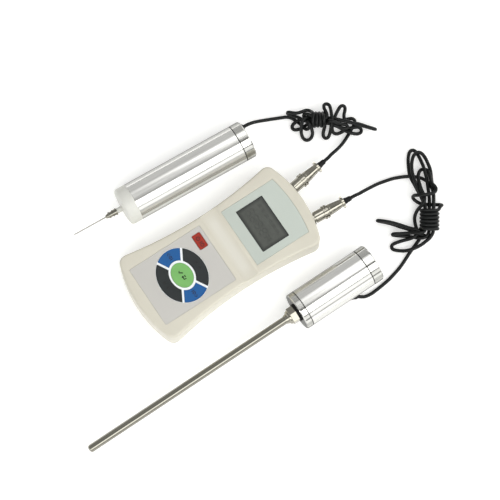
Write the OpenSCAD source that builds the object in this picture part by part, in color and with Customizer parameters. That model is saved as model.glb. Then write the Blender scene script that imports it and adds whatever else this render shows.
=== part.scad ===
// Grain moisture meter: a handheld reader lying on its back, with a needle probe
// and a long rod probe plugged into its top end. Millimetres, +Z up, +Y towards
// the plugs, origin at the middle of the reader's flat back face.

/* [Reader case] */
// Height of the reader, back face to front face
case_h = 30; // [29:0.5:31]
// Half of the reader's width at its waist
waist_half = 38.3; // [37.5:0.1:39]
// Height of the joint between the rear and front case
split_h = 9; // [8.5:0.5:9.5]
// Thickness of the case walls
wall = 2.4; // [2:0.2:2.6]
// Radius of the rounding along the back edge
back_round = 6; // [5:0.5:6.5]
// Radius of the rounding along the front edge
front_round = 2.5; // [2:0.5:3]

/* [Front panel] */
// Width of the keypad plate
pad_w = 62.4; // [60:0.2:64]
// Width of the display plate
disp_w = 61.0; // [59:0.5:63]
// Width of the display window
window_w = 46.2; // [44:0.2:48]
// Height of the display window
window_h = 29.3; // [28:0.1:30.5]
// Half width of the oval key ring
ring_rx = 26.9; // [25:0.1:27.2]
// Half height of the oval key ring
ring_ry = 23.2; // [22:0.1:23.4]
// How far a key travels
key_travel = 0.4; // [0.2:0.05:0.45]

/* [Plugs] */
// Turn of the left plug away from the reader's axis, degrees
left_turn = 8.5; // [4:0.5:9]
// Turn of the right plug away from the reader's axis, degrees
right_turn = 3.8; // [2:0.2:6]
// Radius of the coupling ring's barrel
ring_r = 5.7; // [5.6:0.1:6]
// Height of the plugs' axis
plug_z = 17; // [16.5:0.5:18]

/* [Probes] */
// Radius of both probe handles
tube_r = 18.5; // [18:0.25:19]
// Length of the needle probe's tube
needle_tube_len = 113; // [105:1:115]
// Length of the bare needle
needle_len = 35; // [20:1:45]
// Length of the rod probe's tube
rod_tube_len = 68.3; // [66:0.1:72]
// Radius of the steel rod
rod_r = 3.75; // [3:0.25:4]
// Reach of the rod ahead of its tube
rod_reach = 237; // [150:1:300]

/* [Leads] */
// Diameter of both leads
lead_d = 3.4; // [3:0.1:3.6]

/* [Hidden] */
$fn = 48;
eps = 0.01;

// ---- colours ----
ivory = [0.88, 0.85, 0.77];
aluminium = [0.80, 0.80, 0.79];
nickel = [0.77, 0.75, 0.71];
steel = [0.62, 0.62, 0.61];
black = [0.10, 0.10, 0.11];
board_green = [0.10, 0.36, 0.20];
brass = [0.80, 0.66, 0.32];

// ---- plan outline of the reader ----
// Two large arcs draw in the sides to a waist, two shallow arcs close the ends,
// and four corner arcs join them. An inset of d moves each arc along its own normal.
side_r = 420;
waist_y = 3;
top_y = 91.7;
bottom_y = -92.5;
top_r = 112;
bottom_r = 120;
corner_r = 8;
side_c = [waist_half + side_r, waist_y];
top_c = [0, top_y - top_r];
bottom_c = [0, bottom_y + bottom_r];
// crossing of two circles, on the side given by s
function cross_pt(a, ra, b, rb, s) =
  let (v = b - a, d = norm(v), u = v / d, m = (ra * ra - rb * rb + d * d) / (2 * d),
       h = sqrt(ra * ra - m * m))
  a + m * u + s * h * [-u[1], u[0]];
corner_top = cross_pt(top_c, top_r - corner_r, side_c, side_r + corner_r, 1);
corner_bottom = cross_pt(bottom_c, bottom_r - corner_r, side_c, side_r + corner_r, -1);
function dir_of(v) = atan2(v[1], v[0]);
function arc(c, r, a0, a1, n) = [for (i = [0:n - 1]) let (a = a0 + (a1 - a0) * i / n) c + r * [cos(a), sin(a)]];
a_end_b = dir_of(corner_bottom - bottom_c);
a_end_t = dir_of(corner_top - top_c);
a_cs_b = dir_of(side_c - corner_bottom);
a_cs_t = dir_of(side_c - corner_top);
a_s_b = 180 + dir_of(side_c - corner_bottom);
a_s_t = 180 + dir_of(side_c - corner_top);
function right_half(d) = concat(
  arc(bottom_c, bottom_r - d, -90, a_end_b, 6),
  arc(corner_bottom, corner_r - d, a_end_b, a_cs_b, 6),
  arc(side_c, side_r + d, a_s_b, a_s_t, 12),
  arc(corner_top, corner_r - d, a_cs_t, a_end_t, 6),
  arc(top_c, top_r - d, a_end_t, 90, 6),
  [[0, top_y - d]]);
function outline(d) = let (h = right_half(d), n = len(h))
  concat(h, [for (i = [n - 2:-1:1]) [-h[i][0], h[i][1]]]);

// closed skin through a stack of outlines, given as [height, inset]
module skin(levels) {
  rings = [for (l = levels) [for (p = outline(l[1])) [p[0], p[1], l[0]]]];
  n = len(rings[0]);
  m = len(rings);
  pts = [for (r = rings) each r];
  faces = concat(
    [[for (i = [0:n - 1]) i]],
    [[for (i = [n - 1:-1:0]) (m - 1) * n + i]],
    [for (k = [0:m - 2], i = [0:n - 1]) let (j = (i + 1) % n) [k * n + i, (k + 1) * n + i, (k + 1) * n + j]],
    [for (k = [0:m - 2], i = [0:n - 1]) let (j = (i + 1) % n) [k * n + i, (k + 1) * n + j, k * n + j]]);
  polyhedron(points = pts, faces = faces, convexity = 4);
}
back_levels = [for (a = [0:22.5:90]) [back_round * (1 - cos(a)), back_round * (1 - sin(a))]];
front_levels = [for (a = [0:22.5:90]) [case_h - front_round + front_round * sin(a), front_round * (1 - cos(a))]];

// ---- shared plan shapes ----
module rrect(w, h, r) {
  square([w - 2 * r, h], center = true);
  square([w, h - 2 * r], center = true);
  for (x = [-1, 1], y = [-1, 1]) translate([x * (w / 2 - r), y * (h / 2 - r)]) circle(r);
}
function ellipse_pts(rx, ry) = [for (a = [0:6:354]) [rx * cos(a), ry * sin(a)]];
plate_top = case_h - 0.2;
plate_t = 1.2;
recess_z = plate_top - plate_t;
roof_z = case_h - wall;
pad_y = -42.1;
pad_h = 77.8;
ring_y = -42.6;
power_pos = [-18.3, -11.1];
power_size = [15.2, 8.5];
disp_y0 = 20.7;
disp_y1 = 78.2;
disp_apex = 81.4;
disp_r = 147;
window_y = 46.65;
module display_shape(c) {
  intersection() {
    translate([-disp_w / 2 - c, disp_y0 - c]) square([disp_w + 2 * c, disp_apex - disp_y0 + 2 * c]);
    translate([0, disp_apex - disp_r]) circle(disp_r + c, $fn = 360);
  }
}
// one quarter of the oval key ring, grown by c all round
bar_w = 2.6;
inner_rx = 15.3;
inner_ry = 12.0;
enter_rx = 12.4;
enter_ry = 9.6;
bar_angle = 30;
module ring_part(a0, a1, c) {
  am = (a0 + a1) / 2;
  n0 = [-sin(a0), cos(a0)];
  n1 = [sin(a1), -cos(a1)];
  e0 = [cos(a0), sin(a0)];
  e1 = [cos(a1), sin(a1)];
  q = bar_w / 2 - c;
  intersection() {
    difference() {
      polygon(ellipse_pts(ring_rx + c, ring_ry + c));
      polygon(ellipse_pts(inner_rx - c, inner_ry - c));
    }
    polygon([n0 * q + n1 * q, e0 * 60 + n0 * q, 70 * [cos(am), sin(am)], e1 * 60 + n1 * q]);
  }
}
module power_shape(c) { translate(power_pos) rrect(power_size[0] + 2 * c, power_size[1] + 2 * c, 1.2); }
module enter_shape(c) { translate([0, ring_y]) polygon(ellipse_pts(enter_rx + c, enter_ry + c)); }
module ring_shape(k, c) { translate([0, ring_y]) ring_part(ring_from[k], ring_to[k], c); }
ring_from = [bar_angle, 180 - bar_angle, 180 + bar_angle, -bar_angle];
ring_to = [180 - bar_angle, 180 + bar_angle, 360 - bar_angle, bar_angle];
key_gap = 0.3;

// ---- places ----
case_bosses = [[-36, -70], [36, -70], [-36, 73], [36, 73]];
main_posts = [[-28, 11], [28, 11], [-28, 70], [28, 70]];
pad_posts = [[-26, -74.5], [26, -74.5], [24, -11], [-3, -11]];
main_board_z = 19.8;
pad_board_z = 22;
board_t = 1.6;

// plug frames: local +Z runs outward along the plug's axis from the case wall
left_at = [-15.0, 90.6, plug_z];
right_at = [19.7, 89.9, plug_z];
module at_left() { translate(left_at) rotate([0, 0, left_turn]) rotate([-90, 0, 0]) children(); }
module at_right() { translate(right_at) rotate([0, 0, -right_turn]) rotate([-90, 0, 0]) children(); }
module at_both() { at_left() children(); at_right() children(); }
// the left plug is screwed one more turn onto its socket
left_in = 1;
module at_left_plug() { at_left() translate([0, 0, -left_in]) children(); }
module at_both_plugs() { at_left_plug() children(); at_right() children(); }
function left_out(s) = left_at + (s - left_in) * [-sin(left_turn), cos(left_turn), 0];
function right_out(s) = right_at + s * [sin(right_turn), cos(right_turn), 0];

// probe frames: local +X runs from the tip to the lead, 0 at the front of the tube
needle_at = [-87, -41, tube_r];
needle_turn = 3.6;
rod_at = [86, 34.5, tube_r];
rod_turn = -0.4;
module at_needle() { translate(needle_at) rotate([0, 0, 90 - needle_turn]) children(); }
module at_rod() { translate(rod_at) rotate([0, 0, 90 - rod_turn]) children(); }
// a straight round piece along a probe's axis, from x0 to x1
module bar(x0, x1, r, fn = 64) { translate([x0, 0, 0]) rotate([0, 90, 0]) cylinder(r = r, h = x1 - x0, $fn = fn); }
module pipe(x0, x1, ro, ri) { difference() { bar(x0, x1, ro); bar(x0 - 1, x1 + 1, ri); } }
// a turned piece from its profile of [along, radius] points
module turned(profile) { rotate([0, 90, 0]) rotate_extrude($fn = 64) polygon([for (p = profile) [p[1], p[0]]]); }

// ---- reader: case ----
module front_case() color(ivory) {
  difference() {
    union() {
      difference() {
        skin(concat([[split_h, 0.3], [split_h + 0.3, 0]], front_levels));
        skin([[split_h - 1, wall], [roof_z, wall]]);
      }
      for (b = case_bosses) translate([b[0], b[1], split_h]) cylinder(r = 3.6, h = roof_z - split_h + 0.5);
      for (b = main_posts) translate([b[0], b[1], main_board_z + board_t]) cylinder(r = 2.6, h = roof_z - main_board_z - board_t + 0.5);
      for (b = pad_posts) translate([b[0], b[1], pad_board_z + board_t]) cylinder(r = 2.6, h = roof_z - pad_board_z - board_t + 0.5);
      at_both() translate([0, 0, -4]) cylinder(r = 7.4, h = 3);
    }
    // shallow valley across the front between the two plates
    translate([-60, 9.8, case_h + 60 - 0.8]) rotate([0, 90, 0]) cylinder(r = 60, h = 120, $fn = 180);
    // recesses for the plates
    translate([0, 0, recess_z]) linear_extrude(3) display_shape(0.15);
    translate([0, pad_y, recess_z]) linear_extrude(3) rrect(pad_w + 0.3, pad_h + 0.3, 1.6);
    // window and key openings through the roof
    translate([0, window_y, roof_z - 1]) linear_extrude(4) rrect(window_w + 2.4, window_h + 2.4, 1);
    translate([0, ring_y, roof_z - 1]) linear_extrude(4) polygon(ellipse_pts(ring_rx + 0.9, ring_ry + 0.9));
    translate([0, 0, roof_z - 1]) linear_extrude(4) power_shape(0.9);
    // pilot holes
    for (b = case_bosses) translate([b[0], b[1], split_h - 1]) cylinder(r = 1.3, h = 13);
    for (b = main_posts) translate([b[0], b[1], main_board_z]) cylinder(r = 1.0, h = 6);
    for (b = pad_posts) translate([b[0], b[1], pad_board_z]) cylinder(r = 1.0, h = 5);
    // flats and holes for the sockets
    at_both() translate([0, 0, -0.6]) cylinder(r = 7, h = 6);
    at_both() translate([0, 0, -9]) cylinder(r = 4.7, h = 10);
  }
}
module rear_case() color(ivory) {
  difference() {
    union() {
      difference() {
        skin(concat(back_levels, [[split_h - 0.3, 0], [split_h, 0.3]]));
        skin([[wall, 5], [wall + 2, 3], [back_round, wall], [split_h + 1, wall]]);
      }
      for (b = case_bosses) translate([b[0], b[1], 1]) cylinder(r = 3.6, h = split_h - 1);
    }
    // slot for the battery door, open at the bottom end
    translate([-24.3, -96, -1]) cube([48.6, 50.3, 2.2]);
    translate([-26.3, -96, 1.19]) cube([52.6, 50.3, 1.46]);
    // screws
    for (b = case_bosses) translate([b[0], b[1], -1]) cylinder(r = 3.1, h = 5);
    for (b = case_bosses) translate([b[0], b[1], 3]) cylinder(r = 1.7, h = 10);
  }
}
module case_screws() color(steel) {
  for (b = case_bosses) translate([b[0], b[1], 0]) {
    difference() {
      union() {
        translate([0, 0, 1.8]) cylinder(r = 2.7, h = 2.2);
        translate([0, 0, 3.9]) cylinder(r = 1.15, h = 15);
      }
      translate([-0.3, -1.8, 1]) cube([0.6, 3.6, 1.8]);
      translate([-1.8, -0.3, 1]) cube([3.6, 0.6, 1.8]);
    }
  }
}
module battery_door() color(ivory) {
  difference() {
    union() {
      intersection() {
        skin(concat(back_levels, [[split_h, 0]]));
        translate([-24, -96, -1]) cube([48, 50, 3.4]);
      }
      translate([-26, -80, 1.4]) cube([52, 34, 1]);
    }
    // thumb grooves
    for (i = [0:4]) translate([-8, -66 + i * 3, -0.6]) cube([16, 1.4, 1.2]);
  }
}
module battery() color([0.16, 0.17, 0.20]) {
  translate([-27, -79, 2.8]) cube([48.5, 26.5, 17.5]);
}
module battery_snap() color(black) {
  translate([21.6, -78.5, 3.4]) cube([3, 25.5, 16.4]);
  for (y = [-72, -59.6]) translate([24.5, y, 11.6]) rotate([0, 90, 0]) cylinder(r = 3.2, h = 1.2);
}

// ---- reader: front panel ----
module display_plate() color([0.79, 0.82, 0.79]) {
  difference() {
    translate([0, 0, recess_z]) linear_extrude(plate_t) display_shape(0);
    translate([0, window_y, recess_z - 1]) linear_extrude(4) rrect(window_w, window_h, 0.8);
  }
}
module display_window() color([0.36, 0.38, 0.36, 0.6]) {
  translate([0, window_y, roof_z]) linear_extrude(recess_z - roof_z) rrect(window_w + 2, window_h + 2, 0.9);
}
module lcd_module() color([0.35, 0.37, 0.34]) {
  translate([-27, window_y - 18.5, roof_z - 2.8]) cube([54, 37, 2.6]);
}
module lcd_holder() color(steel) {
  difference() {
    translate([-28.5, window_y - 20, main_board_z + board_t]) cube([57, 40, 3.4]);
    translate([-25, window_y - 16.5, main_board_z]) cube([50, 33, 10]);
  }
}
module main_board() color(board_green) {
  difference() {
    translate([-31.5, 7, main_board_z]) cube([63, 67, board_t]);
    for (b = main_posts) translate([b[0], b[1], main_board_z - 1]) cylinder(r = 1.3, h = 4);
  }
}
module board_chips() color(black) {
  translate([-10, 30, main_board_z - 1.6]) cube([14, 14, 1.6]);
  translate([12, 32, main_board_z - 1.4]) cube([8, 5, 1.4]);
  translate([-22, 34, main_board_z - 1.4]) cube([5, 9, 1.4]);
  translate([-14, 52, main_board_z - 2.2]) cube([26, 6, 2.2]);
  translate([-10, -40, pad_board_z - 1.2]) cube([9, 9, 1.2]);
}
module keypad_plate() color([0.81, 0.80, 0.77]) {
  difference() {
    translate([0, pad_y, recess_z]) linear_extrude(plate_t) rrect(pad_w, pad_h, 1.5);
    translate([0, 0, recess_z - 1]) linear_extrude(4) {
      for (k = [0:3]) ring_shape(k, key_gap);
      enter_shape(key_gap);
      power_shape(key_gap);
    }
  }
}
module keypad_board() color(board_green) {
  difference() {
    translate([-30, -79, pad_board_z]) cube([60, 71, board_t]);
    for (b = pad_posts) translate([b[0], b[1], pad_board_z - 1]) cylinder(r = 1.3, h = 4);
  }
}
key_spots = [[0, ring_y + 17.8], [-21.2, ring_y], [0, ring_y - 17.8], [21.2, ring_y], [0, ring_y], power_pos];
dome_z = pad_board_z + board_t;
module key_domes() color(steel) {
  for (k = key_spots) translate([k[0], k[1], dome_z]) {
    cylinder(r = 3.8, h = 0.3);
    cylinder(r = 2.2, h = 0.5);
  }
}
module board_screws() color(steel) {
  for (b = main_posts) translate([b[0], b[1], main_board_z - 1.4]) { cylinder(r = 2, h = 1.4); cylinder(r = 0.9, h = 6); }
  for (b = pad_posts) translate([b[0], b[1], pad_board_z - 1.4]) { cylinder(r = 2, h = 1.4); cylinder(r = 0.9, h = 6); }
}
// a key: a crowned cap standing a little proud of its plate, and a stem above its dome
module key_body(spot) {
  translate([0, 0, plate_top - 2]) linear_extrude(2.5) children();
  translate([spot[0], spot[1], dome_z + 0.5 + key_travel + 0.1]) cylinder(r = 1.8, h = plate_top - dome_z - 2.3 - key_travel);
}
module key_power() color([0.66, 0.22, 0.18]) key_body(key_spots[5]) power_shape(0);
module key_enter() color([0.51, 0.76, 0.45]) key_body(key_spots[4]) enter_shape(0);
module key_up() color([0.20, 0.22, 0.23]) key_body(key_spots[0]) ring_shape(0, 0);
module key_left() color([0.18, 0.42, 0.71]) key_body(key_spots[1]) ring_shape(1, 0);
module key_down() color([0.20, 0.22, 0.23]) key_body(key_spots[2]) ring_shape(2, 0);
module key_right() color([0.18, 0.42, 0.71]) key_body(key_spots[3]) ring_shape(3, 0);

// ---- sockets and plugs ----
module socket_shape() {
  difference() {
    union() {
      translate([0, 0, -5.6]) cylinder(r = 6.8, h = 1.6);
      translate([0, 0, -12]) cylinder(r = 4.4, h = 20);
    }
    translate([0, 0, 0]) cylinder(r = 3.4, h = 9);
    translate([0, 0, -13]) cylinder(r = 3.4, h = 13.01);
  }
}
module socket_left() color(nickel) at_left() socket_shape();
module socket_right() color(nickel) at_right() socket_shape();
module socket_inserts() color(black) at_both() difference() {
  translate([0, 0, -12]) cylinder(r = 3.4, h = 12.5);
  for (a = [0:90:270]) rotate([0, 0, a]) translate([1.7, 0, -13]) cylinder(r = 0.5, h = 15);
}
module socket_pins() color(brass) at_both() for (a = [0:90:270]) rotate([0, 0, a]) translate([1.7, 0, -14]) cylinder(r = 0.5, h = 19.4);
module socket_seals() color(black) at_both() translate([0, 0, -0.6]) difference() {
  cylinder(r = 6.4, h = 1);
  translate([0, 0, -1]) cylinder(r = 4.5, h = 3);
}
module socket_nuts() color(nickel) at_both() translate([0, 0, 0.4]) difference() {
  cylinder(r = 6.1, h = 0.8, $fn = 6);
  translate([0, 0, -1]) cylinder(r = 4.4, h = 4, $fn = 48);
}
module coupling_ring_shape() {
  difference() {
    union() {
      translate([0, 0, 2.6]) cylinder(r = ring_r, h = 14.3);
      translate([0, 0, 11.8]) cylinder(r = ring_r + 1, h = 4.4);
    }
    translate([0, 0, 2]) cylinder(r = 4.75, h = 12);
    translate([0, 0, 10]) cylinder(r = 4.15, h = 9);
    // grip: notches round the collar and a groove round its middle
    for (a = [0:30:330]) rotate([0, 0, a]) translate([ring_r + 0.2, -0.55, 11]) cube([2, 1.1, 6]);
    translate([0, 0, 13.5]) difference() { cylinder(r = ring_r + 2, h = 1); translate([0, 0, -1]) cylinder(r = ring_r + 0.4, h = 3); }
  }
}
module coupling_ring_left() color(nickel) at_left_plug() coupling_ring_shape();
module coupling_ring_right() color(nickel) at_right() coupling_ring_shape();
module plug_shells() color(nickel) at_both_plugs() {
  difference() {
    rotate_extrude($fn = 64) polygon([[2.6, 1.6], [3.1, 1.6], [3.1, 11.4], [4.5, 11.4], [4.5, 13.7], [3.9, 13.7],
      [3.9, 17.2], [5.2, 17.2], [5.4, 17.6], [5.4, 18.8], [4.0, 31.6], [2.6, 31.6]]);
    for (a = [0:45:315]) rotate([0, 0, a]) translate([4.9, -0.4, 20]) rotate([0, -6.3, 0]) cube([3, 0.8, 9.4]);
  }
}
module plug_inserts() color(black) at_both_plugs() difference() {
  translate([0, 0, 2]) cylinder(r = 2.6, h = 10);
  for (a = [0:90:270]) rotate([0, 0, a]) translate([1.7, 0, 1]) cylinder(r = 0.55, h = 6);
}
// cable clamp: a disc with an ear and a screw on each side
module clamp_nuts() color(nickel) at_both_plugs() translate([0, 0, 31.6]) difference() {
  union() {
    rotate_extrude($fn = 64) polygon([[2.7, 0], [4.3, 0], [4.6, 0.3], [4.6, 2.3], [4.3, 2.6], [2.7, 2.6]]);
    difference() {
      translate([-5.7, -1.9, 0.2]) cube([11.4, 3.8, 2.2]);
      translate([0, 0, -1]) cylinder(r = 4, h = 5);
    }
    for (a = [0, 180]) rotate([0, 0, a]) translate([5.0, 2.6, 1.3]) rotate([90, 0, 0]) cylinder(r = 0.9, h = 5.2, $fn = 24);
  }
}
module lead_sleeves() color(black) at_both_plugs() {
  translate([0, 0, 28]) cylinder(r = 2.6, h = 3.7);
  difference() {
    translate([0, 0, 31.6]) rotate_extrude($fn = 32) polygon([[0, 0], [2.7, 0], [2.7, 3.2], [3.0, 3.5], [3.0, 5.2], [2.7, 5.5], [2.4, 9.9], [0, 9.9]]);
    for (a = [0:60:300]) rotate([0, 0, a]) translate([2.15, -0.4, 37.6]) cube([2, 0.8, 2.6]);
  }
}

// ---- needle probe ----
needle_rear = needle_tube_len + 0.8;
module needle_tube() color(aluminium) at_needle() pipe(0, needle_tube_len, tube_r, tube_r - 1.8);
module nose_cap() color([0.90, 0.90, 0.88]) at_needle() difference() {
  turned([[-18.6, 1], [-18.6, 1.9], [-17.6, 2.2], [-17.4, 2.6], [-11.9, 2.9], [-11.5, 3.4], [-11.5, tube_r - 3], [-11.0, tube_r - 1.5], [-9.9, tube_r - 0.5],
    [-8.5, tube_r], [0, tube_r], [0, tube_r - 1.85], [9, tube_r - 1.85], [9, tube_r - 4], [-7, tube_r - 4], [-7, 6], [-10, 1]]);
  bar(-20, -5, 1);
}
module needle_hub() color(steel) at_needle() difference() {
  turned([[-29.6, 0.52], [-29.6, 1.1], [-28.4, 1.9], [-26.4, 2.5], [-26.0, 3.3], [-25.0, 3.3], [-24.8, 2.6], [-22.6, 2.7], [-22.4, 3.3],
    [-21.4, 3.3], [-21.2, 2.9], [-19.0, 3.1], [-18.8, 3.6], [-17.8, 3.6], [-17.8, 2.42], [-18.8, 2.0], [-18.8, 0.9], [-22, 0.52]]);
  for (a = [0:45:315]) rotate([a, 0, 0]) translate([-26.5, 3.1, -0.3]) cube([5.5, 1, 0.6]);
}
needle_tip = -29.6 - needle_len;
module needle() color(steel) at_needle() turned([[needle_tip, 0.02], [needle_tip + 3, 0.5], [-22, 0.5], [-22, 0.25], [needle_tip + 4, 0.25], [needle_tip + 3, 0.02]]);
module needle_rear_cap() color(aluminium) at_needle() difference() {
  turned([[needle_rear, 0], [needle_rear, tube_r], [needle_rear + 8.8, tube_r], [needle_rear + 9.8, tube_r - 1], [needle_rear + 9.8, 0]]);
  bar(needle_rear - 1, needle_rear + 6, 14);
  translate([needle_rear, -needle_bush_off[0], needle_bush_off[1]]) bar(-1, 12, 3.2);
}
needle_bush_off = [-13.0, -4.0];
module needle_lead_bush() color(black) at_needle() translate([needle_rear, -needle_bush_off[0], needle_bush_off[1]]) {
  bar(5.2, 9.8, 3.2);
  bar(9.8, 11.0, 4.2, 32);
  bar(5, 13.2, 2.9, 32);
}
module needle_board() color(board_green) at_needle() {
  translate([6, -13, -0.8]) cube([96, 26, 1.6]);
  translate([40, -5, 0.8]) cube([12, 10, 1.5]);
}

// ---- rod probe ----
rod_rear = rod_tube_len + 0.8;
module rod_tube() color(aluminium) at_rod() difference() {
  pipe(0, rod_tube_len, tube_r, tube_r - 1.8);
  rod_side_hole(2.7);
}
// hole for the lead, low on the right side of the tube, leaning back towards the rear
rod_hole_x = 46;
rod_hole_down = 38;
rod_hole_lean = 55;
rod_grommet_out = 5;
module at_rod_side() { translate([rod_hole_x, 0, 0]) rotate([rod_hole_down, 0, 0]) translate([0, -tube_r, 0]) rotate([90, 0, 0]) children(); }
module rod_side_hole(r) { at_rod_side() rotate([0, rod_hole_lean, 0]) translate([0, 0, -12]) cylinder(r = r, h = 20, $fn = 32); }
module rod_lead_grommet() color(black) at_rod() {
  at_rod_side() rotate([0, rod_hole_lean, 0]) {
    translate([0, 0, -9]) cylinder(r = 2.7, h = 12, $fn = 32);
    translate([0, 0, 2.9]) cylinder(r1 = 2.7, r2 = 2.3, h = rod_grommet_out - 2.9, $fn = 32);
  }
  difference() {
    at_rod_side() translate([0, 0, -2]) cylinder(r = 4.6, h = 2.7, $fn = 32);
    bar(0, rod_tube_len, tube_r);
  }
}
// end of the grommet in the reader's frame, d further along its axis
rod_hole_dir = [sin(rod_hole_lean), -cos(rod_hole_lean) * cos(rod_hole_down), -cos(rod_hole_lean) * sin(rod_hole_down)];
function rod_pt(p) = rod_at + [p[0] * sin(rod_turn) - p[1] * cos(rod_turn), p[0] * cos(rod_turn) + p[1] * sin(rod_turn), p[2]];
function rod_exit(d) = rod_pt([rod_hole_x, -tube_r * cos(rod_hole_down), -tube_r * sin(rod_hole_down)] + (rod_grommet_out + d) * rod_hole_dir);
module rod_front_cap() color(aluminium) at_rod() difference() {
  turned([[-6.8, 4.6], [-6.8, tube_r - 0.8], [-6.0, tube_r], [-0.8, tube_r], [-0.8, tube_r - 1.85], [8, tube_r - 1.85], [8, tube_r - 4], [-3, tube_r - 4], [-3, 4.6]]);
}
module rod_rear_cap() color(aluminium) at_rod() turned([[rod_rear, 0], [rod_rear, tube_r], [rod_rear + 8.8, tube_r], [rod_rear + 9.8, tube_r - 1], [rod_rear + 9.8, 0]]);
module probe_seal_rings() color(black) {
  at_needle() pipe(needle_tube_len, needle_rear, tube_r - 0.4, tube_r - 3);
  at_rod() pipe(rod_tube_len, rod_rear, tube_r - 0.4, tube_r - 3);
  at_rod() pipe(-0.8, 0, tube_r - 0.4, tube_r - 1.8);
}
module rod_washer() color(black) at_rod() pipe(-8.4, -6.8, 9, 4.6);
module gland_nut() color(nickel) at_rod() difference() {
  union() {
    translate([-14.6, 0, 0]) rotate([0, 90, 0]) cylinder(r = 8.8, h = 6.2, $fn = 6);
    bar(-8.6, 4, 4.5);
    turned([[-17.2, 3.9], [-17.2, 5.6], [-16.6, 6.4], [-14.6, 7.2], [-14.6, 3.9]]);
  }
  bar(-18, 5, 3.9);
}
// the rod's hidden shank, inside the gland and the tube, is turned down a little
shank_r = rod_r - 0.25;
module gland_ferrule() color(nickel) at_rod() turned([[-20.1, shank_r + 0.02], [-20.1, rod_r + 0.4], [-17.2, 5.2], [-17.2, shank_r + 0.02]]);
module probe_rod() color(steel) at_rod() difference() {
  union() { bar(-rod_reach + 14, -20.2, rod_r); bar(-21, 30, shank_r); }
  bar(-rod_reach + 13, 31, rod_r - 0.6);
}
module rod_sensor_tip() color(steel) at_rod() turned([[-rod_reach, 0], [-rod_reach, 1.6], [-rod_reach + 0.8, rod_r - 0.7], [-rod_reach + 2.2, rod_r],
  [-rod_reach + 14, rod_r], [-rod_reach + 14, rod_r - 0.65], [-rod_reach + 20, rod_r - 0.65], [-rod_reach + 20, 0]]);
module rod_board() color(board_green) at_rod() {
  translate([32, -12, -0.8]) cube([30, 24, 1.6]);
  translate([38, -4, 0.8]) cube([9, 8, 1.4]);
}

// ---- leads ----
// A lead is swept along a smooth curve through its route's points.
function cr(p0, p1, p2, p3, t) = 0.5 * (2 * p1 + (p2 - p0) * t + (2 * p0 - 5 * p1 + 4 * p2 - p3) * t * t + (3 * p1 - p0 - 3 * p2 + p3) * t * t * t);
function spline(p, k) = let (n = len(p), q = concat([2 * p[0] - p[1]], p, [2 * p[n - 1] - p[n - 2]]))
  concat([for (i = [0:n - 2], j = [0:k - 1]) cr(q[i], q[i + 1], q[i + 2], q[i + 3], j / k)], [p[n - 1]]);
function unit(v) = v / norm(v);
module sweep(p, r, sides) {
  n = len(p);
  rings = [for (i = [0:n - 1])
    let (t = unit(p[min(i + 1, n - 1)] - p[max(i - 1, 0)]), u = unit(cross(t, [0, 0, 1])), w = cross(u, t))
    [for (j = [0:sides - 1]) let (a = 360 * (j + 0.5) / sides) p[i] + r * (cos(a) * u + sin(a) * w)]];
  pts = [for (g = rings) each g];
  faces = concat(
    [[for (j = [0:sides - 1]) j]],
    [[for (j = [sides - 1:-1:0]) (n - 1) * sides + j]],
    [for (i = [0:n - 2], j = [0:sides - 1]) let (k = (j + 1) % sides) [i * sides + j, (i + 1) * sides + j, (i + 1) * sides + k]],
    [for (i = [0:n - 2], j = [0:sides - 1]) let (k = (j + 1) % sides) [i * sides + j, (i + 1) * sides + k, i * sides + k]]);
  polyhedron(points = pts, faces = faces, convexity = 6);
}
sleeve_end = 41.5;
route_a1 = concat([left_out(sleeve_end), left_out(sleeve_end + 5)],
  [[-23.5, 141, 14], [-25.5, 148.5, 9.5], [-28, 156, 5.5], [-31, 163, 3], [-34, 169, 1.8]]);
route_a2 = concat([[-76, 135.5, 1.9], [-79.2, 130.6, 1.8], [-82.2, 124.8, 1.8], [-85.3, 117.5, 2.8], [-88.2, 109.3, 5.4], [-90.4, 101.5, 9], [-91.4, 95.8, 12.2]],
  [needle_exit(4), needle_exit(0)]);
route_b1 = concat([right_out(sleeve_end), right_out(sleeve_end + 5)],
  [[22.8, 141, 14], [22.5, 148, 10.5], [22.4, 155, 7], [22.5, 161.6, 4.2], [23.6, 169, 2.4], [26.4, 179.6, 1.8], [32, 191.4, 1.8], [38, 199, 2.2]]);
route_b2 = concat([[80, 171, 2.2], [85.2, 164.2, 1.8], [93.2, 152.9, 1.8], [100.4, 136.2, 1.8], [104.4, 121.6, 1.8], [105.8, 113, 1.8], [106.6, 105, 1.8], [107, 98, 1.9]],
  [rod_exit(8), rod_exit(3), rod_exit(0)]);
function needle_pt(x, y, z) = needle_at + [x * sin(needle_turn) - y * cos(needle_turn), x * cos(needle_turn) + y * sin(needle_turn), z];
function needle_exit(d) = needle_pt(needle_rear + 13.2 + d, -needle_bush_off[0], needle_bush_off[1]);
module lead(p, k) { color(black) sweep(spline(p, k), lead_d / 2, 8); }
module lead_a_to_bundle() lead(route_a1, 2);
module lead_a_to_probe() lead(route_a2, 1);
module lead_b_to_bundle() lead(route_b1, 1);
module lead_b_to_probe() lead(route_b2, 1);
// a bundle: a low plan of the folded runs with round ends, and a taller middle where they are wrapped
module strap2d(a, b, r) {
  d = dir_of(b - a);
  polygon(concat([for (i = [0:12]) a + r * [cos(d + 90 + 15 * i), sin(d + 90 + 15 * i)]],
                 [for (i = [0:12]) b + r * [cos(d - 90 + 15 * i), sin(d - 90 + 15 * i)]]));
}
module lead_a_bundle() color(black) translate([0, 0, 0.1]) {
  linear_extrude(12) { strap2d([-72, 142], [-34, 178], 13); strap2d([-58, 140], [-64, 170], 9); }
  linear_extrude(19) strap2d([-64.6, 146.3], [-58.8, 155.1], 9);
}
module lead_b_bundle() color(black) translate([0, 0, 0.1]) {
  linear_extrude(12) { strap2d([24, 206], [60, 196], 11); strap2d([60, 196], [79, 182], 12); strap2d([78, 182], [70, 152], 11); }
  linear_extrude(19) strap2d([69.5, 190.4], [87.5, 178], 9);
}

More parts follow.
